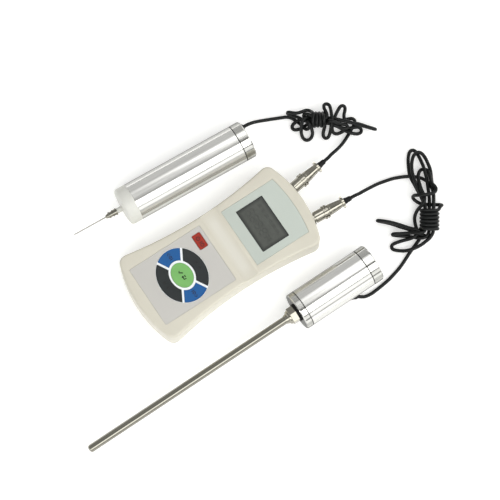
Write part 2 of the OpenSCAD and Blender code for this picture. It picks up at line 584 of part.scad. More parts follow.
front_case();
rear_case();
case_screws();
battery_door();
battery();
battery_snap();
display_plate();
display_window();
lcd_module();
lcd_holder();
main_board();
board_chips();
keypad_plate();
keypad_board();
key_domes();
board_screws();
key_power();
key_enter();
key_left();
key_right();
key_up();
key_down();
socket_left();
socket_right();
socket_inserts();
socket_pins();
socket_nuts();
socket_seals();
coupling_ring_left();
coupling_ring_right();
plug_shells();
plug_inserts();
clamp_nuts();
lead_sleeves();
needle_tube();
nose_cap();
needle_hub();
needle();
needle_rear_cap();
needle_board();
needle_lead_bush();
rod_tube();
rod_front_cap();
rod_rear_cap();
rod_washer();
gland_nut();
gland_ferrule();
probe_rod();
rod_sensor_tip();
rod_board();
rod_lead_grommet();
probe_seal_rings();
lead_a_to_bundle();
lead_a_bundle();
lead_a_to_probe();
lead_b_to_bundle();
lead_b_bundle();
lead_b_to_probe();
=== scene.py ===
import math

import bpy
import numpy as np
from mathutils import Matrix, Vector


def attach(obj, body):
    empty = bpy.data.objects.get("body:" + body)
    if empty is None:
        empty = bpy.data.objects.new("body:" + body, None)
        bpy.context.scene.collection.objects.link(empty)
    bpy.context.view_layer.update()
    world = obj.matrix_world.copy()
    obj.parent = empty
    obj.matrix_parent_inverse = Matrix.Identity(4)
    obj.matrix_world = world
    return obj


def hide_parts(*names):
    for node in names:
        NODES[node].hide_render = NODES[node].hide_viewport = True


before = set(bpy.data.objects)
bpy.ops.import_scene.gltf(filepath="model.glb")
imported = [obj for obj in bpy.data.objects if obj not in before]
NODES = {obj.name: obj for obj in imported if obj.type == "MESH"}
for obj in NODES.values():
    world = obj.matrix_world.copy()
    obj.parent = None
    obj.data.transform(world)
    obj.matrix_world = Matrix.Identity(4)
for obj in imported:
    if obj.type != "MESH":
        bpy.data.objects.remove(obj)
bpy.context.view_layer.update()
MM = 0.001

# ---------------------------------------------------------------- camera
# Nearly overhead, looking a little towards -X and +Y, the long side of the reader running up to the right.
right = Vector((0.5541, 0.8324, 0.0)).normalized()
forward = Vector((-0.2014, 0.1341, -0.9703)).normalized()
up = right.cross(forward).normalized()
right = forward.cross(up).normalized()
cam_data = bpy.data.cameras.new("camera")
cam_data.lens = 175.97
cam_data.sensor_width = 36.0
cam_data.clip_end = 20.0
cam = bpy.data.objects.new("camera", cam_data)
cam.matrix_world = Matrix.Translation((0.4720, -0.2815, 2.2329)) @ Matrix((right, up, -forward)).transposed().to_4x4()
bpy.context.scene.collection.objects.link(cam)
bpy.context.scene.camera = cam


# ---------------------------------------------------------------- the two leads
LEAD_D = 3.4  # mm


def turn2(a):
    return math.sin(math.radians(a)), math.cos(math.radians(a))


def left_out(s):
    sn, cs = turn2(8.5)
    return (-15.0 - (s - 1) * sn, 90.6 + (s - 1) * cs, 17.0)


def right_out(s):
    sn, cs = turn2(3.8)
    return (19.7 + s * sn, 89.9 + s * cs, 17.0)


def needle_exit(d):
    sn, cs = turn2(3.6)
    x = 127.0 + d
    return (-87.0 + x * sn - 13.0 * cs, -41.0 + x * cs + 13.0 * sn, 14.5)


def rod_exit(d):
    s38, c38 = turn2(38)
    s55, c55 = turn2(55)
    sn, cs = turn2(-0.4)
    p = (46 + (5 + d) * s55, -18.5 * c38 - (5 + d) * c55 * c38, -18.5 * s38 - (5 + d) * c55 * s38)
    return (86.0 + p[0] * sn - p[1] * cs, 34.5 + p[0] * cs + p[1] * sn, 18.5 + p[2])


ROUTE_A = [
    left_out(41.5), left_out(46.5),
    (-23.5, 141, 14), (-25.5, 148.5, 9.5), (-28, 156, 5.5), (-31, 163, 3), (-34, 169, 1.8),
    (-37, 174.5, 2), (-38.5, 179, 3), (-40.5, 181.5, 4.5), (-43.5, 181.5, 5), (-45, 177.5, 5.5), (-48, 169.5, 5),
    (-54, 163.5, 5), (-59.5, 157, 6), (-65.5, 148, 6), (-68.5, 142.5, 5.5), (-70.5, 137.5, 4.5), (-71, 131.5, 3),
    (-71, 125.5, 2), (-67.5, 123.5, 2), (-64.5, 128, 2), (-63.5, 133.5, 2.5), (-63.5, 140, 4), (-62, 145.5, 6),
    (-56, 154.5, 6), (-50, 159.5, 5), (-44.5, 163.5, 4.5), (-38.5, 166, 5), (-33, 169, 6.5), (-29.5, 172.5, 5),
    (-27.5, 176.5, 3.5), (-27.5, 181.5, 2.5), (-30, 183, 3), (-33.5, 180.5, 4), (-35.5, 175, 6.5), (-38, 169, 6),
    (-39, 164, 3), (-39, 159, 2), (-41.5, 156, 2), (-45, 156, 4), (-48.5, 158.5, 8.5), (-53, 164, 10),
    (-57, 170.5, 9), (-60, 176, 7.5), (-62, 181.5, 6.5), (-58.5, 182, 6), (-54, 177.5, 6), (-50.5, 173, 6),
    (-46, 171.5, 5), (-41.5, 175.5, 3.5), (-36, 182, 3), (-29.5, 187, 2.5), (-24.5, 191, 3), (-21.5, 191.5, 7),
    (-22.5, 189, 11), (-28.5, 184, 11), (-37, 177, 11), (-45, 170, 11), (-53, 162.5, 11), (-58.5, 156, 10),
    (-64.5, 147.5, 10), (-67, 141.5, 11), (-66, 136.5, 10.5), (-62, 132.5, 7.5), (-58.5, 130, 3.5), (-53.5, 129, 2),
    (-49.5, 131, 2), (-49.5, 136, 2), (-52.5, 140, 3.5), (-57, 142, 7.5), (-60, 144, 10), (-55, 153.5, 10),
    (-48.5, 159.5, 10), (-42, 164, 9.5), (-36.5, 168, 9), (-34, 172, 8.5), (-35.5, 174.5, 8), (-38.5, 173, 8.5),
    (-42, 168.5, 9.5), (-45.5, 163.5, 12), (-50, 160.5, 12.5), (-57, 155, 12.5), (-64.5, 147, 12.5), (-69.5, 143, 11.5),
    (-73.5, 140.5, 10), (-75, 138, 8.5), (-73, 137, 8.5), (-70, 139, 9.5), (-66, 142, 11), (-60.5, 147, 12.5),
    (-56, 153, 13), (-55, 158, 12.5), (-61.5, 159.5, 11), (-67, 161, 10), (-71, 164, 8), (-71.5, 168, 6.5),
    (-68, 169, 7), (-62.5, 166.5, 9), (-57.5, 164, 11), (-51, 160.5, 12.5), (-46, 156, 9.5), (-42, 151.5, 5),
    (-38.5, 146, 2), (-41.5, 144.5, 2), (-47, 147, 4),
    # turns wound round the folded runs
    (-51, 152, 8), (-52, 152, 12.5), (-56, 154, 14.5), (-60.5, 156.5, 12.5), (-64, 158.5, 8.5), (-63.5, 158, 4),
    (-60, 155.5, 2), (-56, 152, 3.5), (-53, 149.5, 7.5), (-53.5, 149, 12), (-57.5, 151, 14.5), (-62, 153.5, 13),
    (-65.5, 155.5, 9), (-65.5, 155.5, 4.5), (-62.5, 153, 2), (-58, 149.5, 3), (-55, 146.5, 7), (-55.5, 146, 12),
    (-58.5, 148, 14.5), (-63.5, 150.5, 13.5), (-67, 152.5, 9.5), (-67.5, 152.5, 5), (-65, 150.5, 2), (-60.5, 147, 3),
    (-57, 144, 7), (-57, 143.5, 11.5), (-60, 145, 14), (-65, 147.5, 13.5),
    # last fold, and out towards the probe
    (-72, 149.5, 8), (-74.5, 147, 9), (-74.5, 142, 11), (-75.5, 136, 12.5), (-80, 132, 12), (-83.5, 129.5, 10.5),
    (-84, 128, 7.5), (-82.5, 129, 5), (-78.5, 132.5, 5), (-73, 136.5, 6.5), (-68, 140, 9), (-64, 143, 12),
    (-60, 142.5, 12), (-57.5, 139.5, 8.5), (-57, 136.5, 6), (-59.5, 135, 5), (-64.5, 135.5, 4.5), (-71.5, 134, 3),
    (-79.2, 130.6, 1.8), (-82.2, 124.8, 1.8), (-85.3, 117.5, 2.8), (-88.2, 109.3, 5.4), (-90.4, 101.5, 9), (-91.4, 95.8, 12.2),
    needle_exit(4), needle_exit(0),
]
ROUTE_B = [
    right_out(41.5), right_out(46.5),
    (22.8, 141, 14), (22.5, 148, 10.5), (22.4, 155, 7), (22.5, 161.6, 4.2), (23.6, 169, 2.4), (26.4, 179.6, 1.8),
    (32, 191.4, 1.8), (38, 199, 2.2),
    (45, 203, 4), (53.5, 203.5, 6), (60.5, 201, 6.5), (65.5, 197.5, 6), (71.5, 193.5, 6), (90.5, 180, 6),
    (93, 177, 5), (91.5, 172.5, 4.5), (85.5, 168, 5.5), (76.5, 163, 3.5), (68.5, 157, 2), (60.5, 151, 2),
    (53, 143.5, 2), (49, 138, 5), (53, 142.5, 7.5), (60.5, 150.5, 8), (68, 157, 7.5), (76, 163, 7.5),
    (82.5, 168.5, 7), (85, 172.5, 6), (82, 176.5, 6), (67, 186.5, 6), (59.5, 189, 5.5), (51.5, 190, 5.5),
    (42, 191, 6.5), (33.5, 192, 6.5), (24, 197, 4.5), (16, 202.5, 3), (11.5, 207.5, 2.5), (11.5, 211, 2.5),
    (16, 211.5, 3), (23.5, 210.5, 3.5), (32, 208.5, 5), (39.5, 206.5, 6), (47, 203, 5.5), (54.5, 199, 5.5),
    (62, 195, 6), (69, 190, 6), (88, 177, 6), (91.5, 172.5, 5), (89, 166.5, 5), (82, 159.5, 3),
    (76, 152, 2.5), (71, 145.5, 2.5), (68.5, 141.5, 5), (70.5, 145.5, 7.5), (75, 152, 7.5), (80, 160.5, 8),
    (84.5, 167, 9), (86, 172, 10), (82.5, 175.5, 10), (67.5, 186, 10), (60.5, 189, 9.5), (50.5, 191, 9.5),
    (41.5, 192.5, 10.5), (34, 194.5, 10.5), (26, 199, 8.5), (20, 204.5, 7), (17.5, 209.5, 6.5), (19, 214, 6),
    (25, 215, 5), (33, 213.5, 5), (41.5, 210, 5), (50.5, 205.5, 7), (60, 201, 10), (66, 196.5, 10),
    (72, 192.5, 10), (91, 179.5, 10), (93, 175.5, 8), (94, 170, 6), (95, 162, 6.5), (94, 155, 6.5),
    (91.5, 148.5, 3.5), (86.5, 142, 2), (81, 136.5, 2), (77.5, 138, 2), (79, 144, 2), (81, 151, 3),
    (84, 158, 4.5), (85.5, 163.5, 7), (83.5, 168, 7.5), (77, 169, 5.5), (70.5, 172, 3), (66.5, 175.5, 3.5),
    (65.5, 181, 8), (64.5, 187, 12), (59, 191.5, 12.5), (52, 192, 12), (44, 194.5, 10), (37.5, 198.5, 7),
    (33.5, 203.5, 5.5), (33, 208.5, 5), (37.5, 210, 5.5), (44.5, 208, 6.5), (51, 204, 10.5), (55, 204.5, 12.5),
    (58, 206, 11), (60.5, 204, 10), (61, 198.5, 13.5), (59, 192.5, 16), (55, 186.5, 14), (51.5, 184, 9),
    (51, 182, 5), (54, 182.5, 3), (60.5, 185.5, 2), (66.5, 193, 2), (71.5, 200.5, 2), (75, 203.5, 5),
    (73.5, 199.5, 8.5),
    # turns wound round the folded runs
    (77, 195, 9.5), (75.5, 191, 13.5), (72, 185.5, 14.5), (68.5, 181.5, 12), (67, 181, 7), (69, 184, 3),
    (73, 189.5, 2), (77.5, 193, 4.5), (79.5, 193, 9), (78.5, 189, 13.5), (75.5, 183.5, 14.5), (71.5, 179.5, 12),
    (70, 179, 7.5), (72, 182, 3), (76, 187, 2), (80.5, 191, 4), (82.5, 191, 9), (82, 187.5, 13),
    (78.5, 182, 14.5), (75, 177.5, 12.5), (73, 176.5, 7.5), (74.5, 180, 3.5), (78.5, 185, 2), (83, 188.5, 4),
    (85.5, 189, 8.5), (85, 185.5, 13), (81.5, 180, 14.5), (78, 175.5, 12.5), (76, 174.5, 8), (77.5, 177.5, 3.5),
    (81.5, 182.5, 2), (86, 186.5, 4), (88.5, 187, 8.5), (88, 183.5, 13), (84.5, 178, 14.5), (81, 173.5, 12.5),
    (79, 172.5, 8), (80.5, 175.5, 3.5), (84, 180.5, 2), (88.5, 184.5, 4), (91.5, 185, 8.5), (91, 182, 13),
    (88, 176.5, 14.5), (84, 172, 12.5), (82, 170.5, 8),
    # out below the turns
    (85, 169.5, 4.5), (87, 168, 2), (89, 163.5, 2), (91.5, 158.5, 2),
    (93.2, 152.9, 1.8), (100.4, 136.2, 1.8), (104.4, 121.6, 1.8), (105.8, 113, 1.8), (106.6, 105, 1.8), (107, 98, 1.9),
    rod_exit(8), rod_exit(3), rod_exit(0),
]


def spline(points, k):
    p = np.array(points, float)
    q = np.vstack([2 * p[0] - p[1], p, 2 * p[-1] - p[-2]])
    t = np.arange(k)[:, None] / k
    out = []
    for i in range(len(p) - 1):
        a, b, c, d = q[i:i + 4]
        out.append(0.5 * (2 * b + (c - a) * t + (2 * a - 5 * b + 4 * c - d) * t ** 2 + (3 * b - a - 3 * c + d) * t ** 3))
    return np.vstack(out + [p[-1:]])


def spaced(line, step):
    s = np.concatenate([[0], np.cumsum(np.linalg.norm(np.diff(line, axis=0), axis=1))])
    t = np.linspace(0, s[-1], max(2, int(round(s[-1] / step)) + 1))
    return np.stack([np.interp(t, s, line[:, k]) for k in range(3)], 1)


def eased(a, n, w):
    for _ in range(n):
        b = a.copy()
        b[1:-1] = (1 - w) * a[1:-1] + 0.5 * w * (a[:-2] + a[2:])
        a = b
    return a


def settle(line, free, d, step, rounds, tight):
    """The runs of a lead push each other apart for a fixed number of rounds, and too sharp a fold opens a little."""
    p, home = line.copy(), line.copy()
    i = np.arange(len(p))
    far = np.abs(i[:, None] - i[None, :]) > int(math.ceil(2.6 * d / step))
    order = np.sign(i[:, None] - i[None, :])
    for _ in range(rounds):
        v = p[:, None, :] - p[None, :, :]
        r = np.sqrt((v * v).sum(2))
        close = far & (r < d)
        a, b = np.nonzero(close)
        push = np.zeros_like(p)
        if len(a):
            w, gap = v[a, b], r[a, b]
            u = w / np.maximum(gap, 1e-6)[:, None]
            u[:, 2] += 0.35 * np.where(np.abs(w[:, 2]) > 1e-4, np.sign(w[:, 2]), order[a, b])
            u /= np.maximum(np.linalg.norm(u, axis=1), 1e-6)[:, None]
            np.add.at(push, a, (d - gap)[:, None] * u)
            push /= np.maximum(close.sum(1), 1)[:, None]
        push = eased(push, 2, 0.6)
        x, y, z = p[:-2], p[1:-1], p[2:]
        sides = np.linalg.norm(y - x, axis=1) * np.linalg.norm(z - y, axis=1) * np.linalg.norm(z - x, axis=1)
        radius = np.full(len(p), 999.0)
        radius[1:-1] = sides / np.maximum(2 * np.linalg.norm(np.cross(y - x, z - x), axis=1), 1e-9)
        sharp = eased(np.clip(tight / np.maximum(radius, 0.3) - 1, 0, 1)[:, None].repeat(3, 1), 1, 0.5)
        lap = np.zeros_like(p)
        lap[1:-1] = 0.5 * (p[:-2] + p[2:]) - p[1:-1]
        p = p + (0.6 * push + 0.7 * sharp * lap + 0.02 * (home - p) + 0.06 * lap) * free[:, None]
        p[:, 2] = np.maximum(p[:, 2], d / 2)
    return p


def lead(name, route, from_point, to_point):
    step = 2.1
    line = spaced(spline(route, 12), step)
    i = np.arange(len(line))
    start = int(np.argmin(np.linalg.norm(line[:60] - np.array(from_point), axis=1)))
    end = len(line) - 100 + int(np.argmin(np.linalg.norm(line[-100:] - np.array(to_point), axis=1)))
    free = np.clip(np.minimum((i - start) / 8, (end - i) / 8), 0, 1)
    line = settle(line, free, LEAD_D * 1.03, step, 200, 3.6)
    line = spaced(spline(line, 3), 1.1) * MM
    curve = bpy.data.curves.new(name, "CURVE")
    curve.dimensions = "3D"
    curve.bevel_depth = 1.0  # times each point's radius, so the curve's own box is the lead's box
    curve.bevel_resolution = 4
    curve.use_fill_caps = True
    s = curve.splines.new("POLY")
    s.points.add(len(line) - 1)
    s.points.foreach_set("co", np.hstack([line, np.ones((len(line), 1))]).ravel())
    s.points.foreach_set("radius", np.full(len(line), LEAD_D * MM / 2))
    s.use_smooth = True
    o = bpy.data.objects.new(name, curve)
    bpy.context.scene.collection.objects.link(o)
    length = float(np.linalg.norm(np.diff(line, axis=0), axis=1).sum())
    return o, line, length


lead_a, line_a, len_a = lead("lead_a", ROUTE_A, (-28, 156, 5.5), (-82.2, 124.8, 1.8))
lead_b, line_b, len_b = lead("lead_b", ROUTE_B, (26.4, 179.6, 1.8), (100.4, 136.2, 1.8))
for o in (lead_a, lead_b):
    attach(o, "housing")
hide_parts("lead_a_to_bundle", "lead_a_bundle", "lead_a_to_probe")
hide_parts("lead_b_to_bundle", "lead_b_bundle", "lead_b_to_probe")
print("lead lengths", len_a, len_b)


# ---------------------------------------------------------------- material helpers
def lin(hexa):
    out = []
    for k in (1, 3, 5):
        c = int(hexa[k:k + 2], 16) / 255
        out.append(c / 12.92 if c <= 0.04045 else ((c + 0.055) / 1.055) ** 2.4)
    return (*out, 1.0)


class Mat:
    """A Principled material in the row frame, with short calls for its nodes."""

    def __init__(self, name, **sockets):
        self.m = bpy.data.materials.new(name)
        self.m.use_nodes = True
        self.t = self.m.node_tree
        self.b = self.t.nodes["Principled BSDF"]
        for k, v in sockets.items():
            self.b.inputs[k.replace("_", " ")].default_value = v
        self.co = self.node("ShaderNodeTexCoord").outputs["Object"]

    def node(self, kind, **props):
        n = self.t.nodes.new(kind)
        for k, v in props.items():
            setattr(n, k, v)
        return n

    def link(self, a, b):
        self.t.links.new(a, b)

    def mapped(self, scale=(1, 1, 1), rot=(0, 0, 0), loc=(0, 0, 0), src=None, kind="POINT"):
        n = self.node("ShaderNodeMapping", vector_type=kind)
        n.inputs["Scale"].default_value = scale
        n.inputs["Rotation"].default_value = rot
        n.inputs["Location"].default_value = loc
        self.link(src or self.co, n.inputs["Vector"])
        return n.outputs["Vector"]

    def noise(self, scale, detail=3.0, rough=0.55, vec=None, dist=0.0):
        n = self.node("ShaderNodeTexNoise")
        n.inputs["Scale"].default_value = scale
        n.inputs["Detail"].default_value = detail
        n.inputs["Roughness"].default_value = rough
        n.inputs["Distortion"].default_value = dist
        self.link(vec or self.co, n.inputs["Vector"])
        return n.outputs["Fac"]

    def ramp(self, fac, stops, mode="LINEAR"):
        n = self.node("ShaderNodeValToRGB")
        n.color_ramp.interpolation = mode
        e = n.color_ramp.elements
        while len(e) < len(stops):
            e.new(0.5)
        for k, (pos, col) in enumerate(stops):
            e[k].position = pos
            e[k].color = col if len(col) == 4 else (*col, 1)
        self.link(fac, n.inputs["Fac"])
        return n.outputs["Color"]

    def math(self, op, a, b=None, c=None, clamp=False):
        n = self.node("ShaderNodeMath", operation=op, use_clamp=clamp)
        for k, v in enumerate((a, b, c)):
            if v is None:
                continue
            if isinstance(v, (int, float)):
                n.inputs[k].default_value = v
            else:
                self.link(v, n.inputs[k])
        return n.outputs[0]

    def xyz(self, vec=None):
        n = self.node("ShaderNodeSeparateXYZ")
        self.link(vec or self.co, n.inputs[0])
        return n.outputs["X"], n.outputs["Y"], n.outputs["Z"]

    def mix(self, fac, a, b, blend="MIX"):
        n = self.node("ShaderNodeMix", data_type="RGBA", blend_type=blend)
        if isinstance(fac, (int, float)):
            n.inputs["Factor"].default_value = fac
        else:
            self.link(fac, n.inputs["Factor"])
        for k, v in (("A", a), ("B", b)):
            s = [x for x in n.inputs if x.name == k and x.type == "RGBA"][0]
            if isinstance(v, tuple):
                s.default_value = v
            else:
                self.link(v, s)
        return [x for x in n.outputs if x.type == "RGBA"][0]

    def scaled(self, fac, lo, hi):
        n = self.node("ShaderNodeMapRange")
        self.link(fac, n.inputs["Value"])
        n.inputs["To Min"].default_value = lo
        n.inputs["To Max"].default_value = hi
        return n.outputs["Result"]

    def set(self, socket, out):
        self.link(out, self.b.inputs[socket])

    def bump(self, height, strength=0.2, distance=0.0001):
        n = self.node("ShaderNodeBump")
        n.inputs["Strength"].default_value = strength
        n.inputs["Distance"].default_value = distance
        self.link(height, n.inputs["Height"])
        if self.b.inputs["Normal"].is_linked:
            self.link(self.b.inputs["Normal"].links[0].from_socket, n.inputs["Normal"])
        self.link(n.outputs["Normal"], self.b.inputs["Normal"])


def tint(hexa, f):
    c = lin(hexa)
    return (c[0] * f, c[1] * f, c[2] * f, 1.0)


# moulded satin plastic of the reader
def plastic(name, hexa, rough=0.42, grain=2600, amount=0.10, vary=0.05, valley_highlight=None):
    m = Mat(name, Roughness=rough)
    n = m.noise(28, 4)
    fine = m.noise(grain, 2)
    tone = m.ramp(n, [(0.3, tint(hexa, 1 - vary)), (0.7, tint(hexa, 1 + vary * 0.6))])
    if valley_highlight:
        # painted highlight: a paler band across the bottom of the valley at the front stands in for the light's
        # reflection there
        x, y, z = m.xyz()
        near = m.math("ABSOLUTE", m.math("SUBTRACT", y, 0.0092))
        along = m.ramp(m.math("MULTIPLY", near, 100.0), [(0.22, (1, 1, 1)), (0.75, (0, 0, 0))])
        across = m.ramp(m.math("MULTIPLY", m.math("ABSOLUTE", x), 20.0), [(0.50, (1, 1, 1)), (0.76, (0, 0, 0))])
        where = m.math("MULTIPLY", m.math("MULTIPLY", along, across), m.math("GREATER_THAN", z, 0.02))
        tone = m.mix(where, tone, tint(valley_highlight, 1.0))
    m.set("Base Color", tone)
    m.set("Roughness", m.scaled(m.noise(90, 3), rough - 0.05, rough + 0.07))
    m.bump(fine, amount, 0.00005)
    return m.m


# the last colour is a painted highlight, a paler band across the front of the case
case_mat = plastic("case_plastic", "#CECABC", 0.33, 2600, 0.12, 0.035, "#D4D1C6")
door_mat = plastic("door_plastic", "#CAC5B3", 0.42, 2400, 0.16, 0.04)


# lightly frosted panel film
def film(name, hexa, vary=0.03, rough=0.33):
    m = Mat(name, Roughness=rough)
    m.b.inputs["Coat Weight"].default_value = 0.5
    m.b.inputs["Coat Roughness"].default_value = 0.13
    n = m.noise(14, 3)
    m.set("Base Color", m.ramp(n, [(0.3, tint(hexa, 1 - vary)), (0.7, tint(hexa, 1 + vary))]))
    m.bump(m.noise(5200, 2), 0.10, 0.00004)
    m.bump(m.noise(55, 2), 0.12, 0.0003)
    return m


display_mat = film("display_panel", "#B7BFB7").m

# keypad film: grey, with the white printed ring and separators under the keys
kp = film("keypad_film", "#BFBDB8")
x, y, z = kp.xyz()
ex = kp.math("DIVIDE", x, 0.02745)
ey = kp.math("DIVIDE", kp.math("ADD", y, 0.0426), 0.02375)
rr = kp.math("SQRT", kp.math("ADD", kp.math("MULTIPLY", ex, ex), kp.math("MULTIPLY", ey, ey)))
inside = kp.math("LESS_THAN", rr, 1.0)
grey = kp.b.inputs["Base Color"].links[0].from_socket
white = kp.ramp(kp.noise(60, 2), [(0.3, lin("#EEF3F6")), (0.7, lin("#F8FBFC"))])
kp.set("Base Color", kp.mix(inside, grey, white))
keypad_mat = kp.m


def key(name, hexa, vary=0.06):
    m = Mat(name, Roughness=0.32)
    m.b.inputs["Specular IOR Level"].default_value = 0.3
    n = m.noise(110, 3)
    m.set("Base Color", m.ramp(n, [(0.25, tint(hexa, 1 - vary)), (0.75, tint(hexa, 1 + vary))]))
    m.bump(m.noise(4200, 2), 0.14, 0.00004)
    m.set("Roughness", m.scaled(m.noise(240, 2), 0.28, 0.40))
    return m.m


key_red, key_green = key("key_red", "#9A2E20"), key("key_green", "#77B166")
key_blue, key_black = key("key_blue", "#1C5895"), key("key_black", "#282C2D")


# smoked window over the unlit display
def window():
    m = Mat("window_glass", Roughness=0.12)
    x, y, z = m.xyz()
    u = m.math("ABSOLUTE", x)
    v = m.math("ABSOLUTE", m.math("SUBTRACT", y, 0.04665))
    du = m.math("SUBTRACT", 0.0231, u)
    dv = m.math("SUBTRACT", 0.01465, v)
    edge = m.math("MINIMUM", du, dv)
    e = m.scaled(m.math("MULTIPLY", edge, 1 / 0.004, clamp=True), 0.0, 1.0)
    n = m.noise(120, 3)
    base = m.ramp(n, [(0.3, lin("#444742")), (0.7, lin("#4C4F4A"))])
    # painted shade: the glass darkens over its outer 4 mm towards the edges, standing in for the shade in the recess
    # round the window
    recess_shade_tone = m.ramp(n, [(0.3, lin("#1C201E")), (0.7, lin("#242725"))])
    m.set("Base Color", m.mix(e, recess_shade_tone, base))
    m.set("Roughness", m.scaled(m.noise(300, 2), 0.10, 0.18))
    m.b.inputs["Specular IOR Level"].default_value = 0.4
    return m.m


window_mat = window()
lcd_mat = plastic("lcd_glass", "#565B52", 0.25, 900, 0.05, 0.06)


# extruded aluminium tube: fine lines along the axis, in a frame laid along the probe
def aluminium(name, at, turn, hexa="#F6F6F4", rough=0.10, lines=1.0, metallic=0.74, case_reflection_band=0.66, rim_reflection_band=0.74):
    m = Mat(name, Metallic=metallic, Roughness=rough)
    m.b.inputs["Specular Tint"].default_value = (0.30, 0.30, 0.30, 1)
    # local frame: X across, Y along the probe, Z up, origin on its axis
    loc = m.mapped(loc=tuple(a * MM for a in at), rot=(0, 0, math.radians(turn)), kind="TEXTURE")
    x, y, z = m.xyz(loc)
    ang = m.math("ARCTAN2", x, z)
    comb = m.node("ShaderNodeCombineXYZ")
    m.link(m.math("SINE", ang), comb.inputs["X"])
    m.link(m.math("COSINE", ang), comb.inputs["Z"])
    m.link(m.math("MULTIPLY", y, 0.3), comb.inputs["Y"])
    v = comb.outputs[0]
    coarse = m.noise(9.0, 5, 0.65, vec=v)
    fine = m.noise(70.0, 3, 0.6, vec=v)
    streak = m.math("ADD", m.math("MULTIPLY", coarse, 0.35), m.math("MULTIPLY", fine, 0.65))
    # painted reflections: broad darker bands and a thin darker line at fixed angles round the tube stand in for the
    # grey wall, the reader's shaded side and the gap between the light panels mirrored in it
    turnpart = m.math("MULTIPLY_ADD", ang, 0.5 / math.pi, 0.5)
    reflection_bands = [(-180, 0.86), (-100, 0.8), (-72, rim_reflection_band), (-46, rim_reflection_band), (-41, 0.97), (-21, 0.97), (-19.5, 0.88), (-17, 0.88), (-15.5, 0.95),
            (30, 0.95), (33, 1.0), (58, 1.0), (61, case_reflection_band), (70, case_reflection_band), (73, 0.96), (81, 0.96), (84, rim_reflection_band), (100, rim_reflection_band), (120, 0.85), (180, 0.86)]
    reflection_band_tone = m.ramp(turnpart, [(0.5 + deg / 360, (v, v, v * 0.985)) for deg, v in reflection_bands])
    tone = m.ramp(streak, [(0.36, tint(hexa, 0.70)), (0.46, tint(hexa, 0.93)), (0.60, tint(hexa, 1.04))])
    m.set("Base Color", m.mix(1.0, tone, reflection_band_tone, "MULTIPLY"))
    m.set("Roughness", m.scaled(streak, rough - 0.04, rough + 0.05))
    m.bump(streak, 0.08 * lines, 0.0002)
    m.bump(m.noise(900, 2), 0.01, 0.00005)
    return m.m


NEEDLE_AT, ROD_AT = (-87.0, -41.0, 18.5), (86.0, 34.5, 18.5)
alu_a = aluminium("handle_aluminium_a", NEEDLE_AT, -3.6)
# the rod's painted reflection bands are set paler than the needle tube's; the caps carry the same painted bands
alu_b = aluminium("handle_aluminium_b", ROD_AT, 0.4, case_reflection_band=0.86, rim_reflection_band=0.78)
cap_a = aluminium("turned_cap_a", NEEDLE_AT, -3.6, "#E2E2DF", 0.10, 0.3, 0.94)
cap_b = aluminium("turned_cap_b", ROD_AT, 0.4, "#E2E2DF", 0.10, 0.3, 0.94)


# frosted white nose cap
def nose():
    m = Mat("nose_plastic", Roughness=0.5)
    m.b.inputs["Specular IOR Level"].default_value = 0.3
    m.b.inputs["Subsurface Weight"].default_value = 0.25
    m.b.inputs["Subsurface Radius"].default_value = (0.004, 0.004, 0.0035)
    n = m.noise(60, 4)
    m.set("Base Color", m.ramp(n, [(0.3, lin("#CFCFC9")), (0.7, lin("#D8D8D2"))]))
    m.set("Roughness", m.scaled(m.noise(150, 3), 0.42, 0.58))
    m.bump(m.noise(1500, 2), 0.15, 0.00006)
    return m.m


nose_mat = nose()


def metal(name, hexa, rough, scratch=260, vary=0.08, stretch=(1, 1, 1), bump=0.10):
    m = Mat(name, Metallic=1.0, Roughness=rough)
    v = m.mapped(scale=stretch)
    n = m.noise(scratch, 4, 0.6, vec=v)
    m.set("Base Color", m.ramp(n, [(0.3, tint(hexa, 1 - vary)), (0.7, tint(hexa, 1 + vary * 0.5))]))
    m.set("Roughness", m.scaled(m.noise(scratch * 1.7, 3, vec=v), max(0.02, rough * 0.6), rough * 1.5))
    m.bump(n, bump, 0.00006)
    return m.m


nickel_mat = metal("nickel_plate", "#A6A398", 0.045, 260, 0.10, (1, 1, 1), 0.02)
steel_mat = metal("probe_steel", "#98968C", 0.05, 420, 0.10, (1, 0.06, 1), 0.012)
spring_mat = metal("spring_steel", "#9C9C9A", 0.30, 300)
brass_mat = metal("pin_brass", "#CDAE62", 0.22, 300)


def rubber(name, hexa, rough, grain, vary=0.2, bump=0.15):
    m = Mat(name, Roughness=rough)
    m.b.inputs["Specular IOR Level"].default_value = 0.22
    n = m.noise(90, 4)
    m.set("Base Color", m.ramp(n, [(0.3, tint(hexa, 1 - vary)), (0.7, tint(hexa, 1 + vary))]))
    m.set("Roughness", m.scaled(m.noise(200, 3), rough - 0.07, rough + 0.08))
    m.bump(m.noise(grain, 2), bump, 0.00006)
    return m.m


rubber_mat = rubber("black_rubber", "#151616", 0.5, 1800)
jacket_mat = rubber("lead_jacket", "#111313", 0.36, 2400, 0.18, 0.10)
black_mat = rubber("black_plastic", "#202225", 0.4, 1500, 0.12)
wrap_mat = rubber("battery_wrap", "#2B2E33", 0.35, 1200, 0.15)


def board():
    m = Mat("circuit_board", Roughness=0.35)
    n = m.noise(500, 3)
    t = m.node("ShaderNodeTexBrick")
    t.inputs["Scale"].default_value = 220
    m.link(m.co, t.inputs["Vector"])
    g = m.ramp(n, [(0.3, lin("#1C5A34")), (0.7, lin("#24693F"))])
    line = m.ramp(t.outputs["Fac"], [(0.0, (0, 0, 0)), (1.0, (1, 1, 1))])
    m.set("Base Color", m.mix(line, g, lin("#3B8353")))
    m.bump(t.outputs["Fac"], 0.1, 0.00005)
    return m.m


board_mat = board()

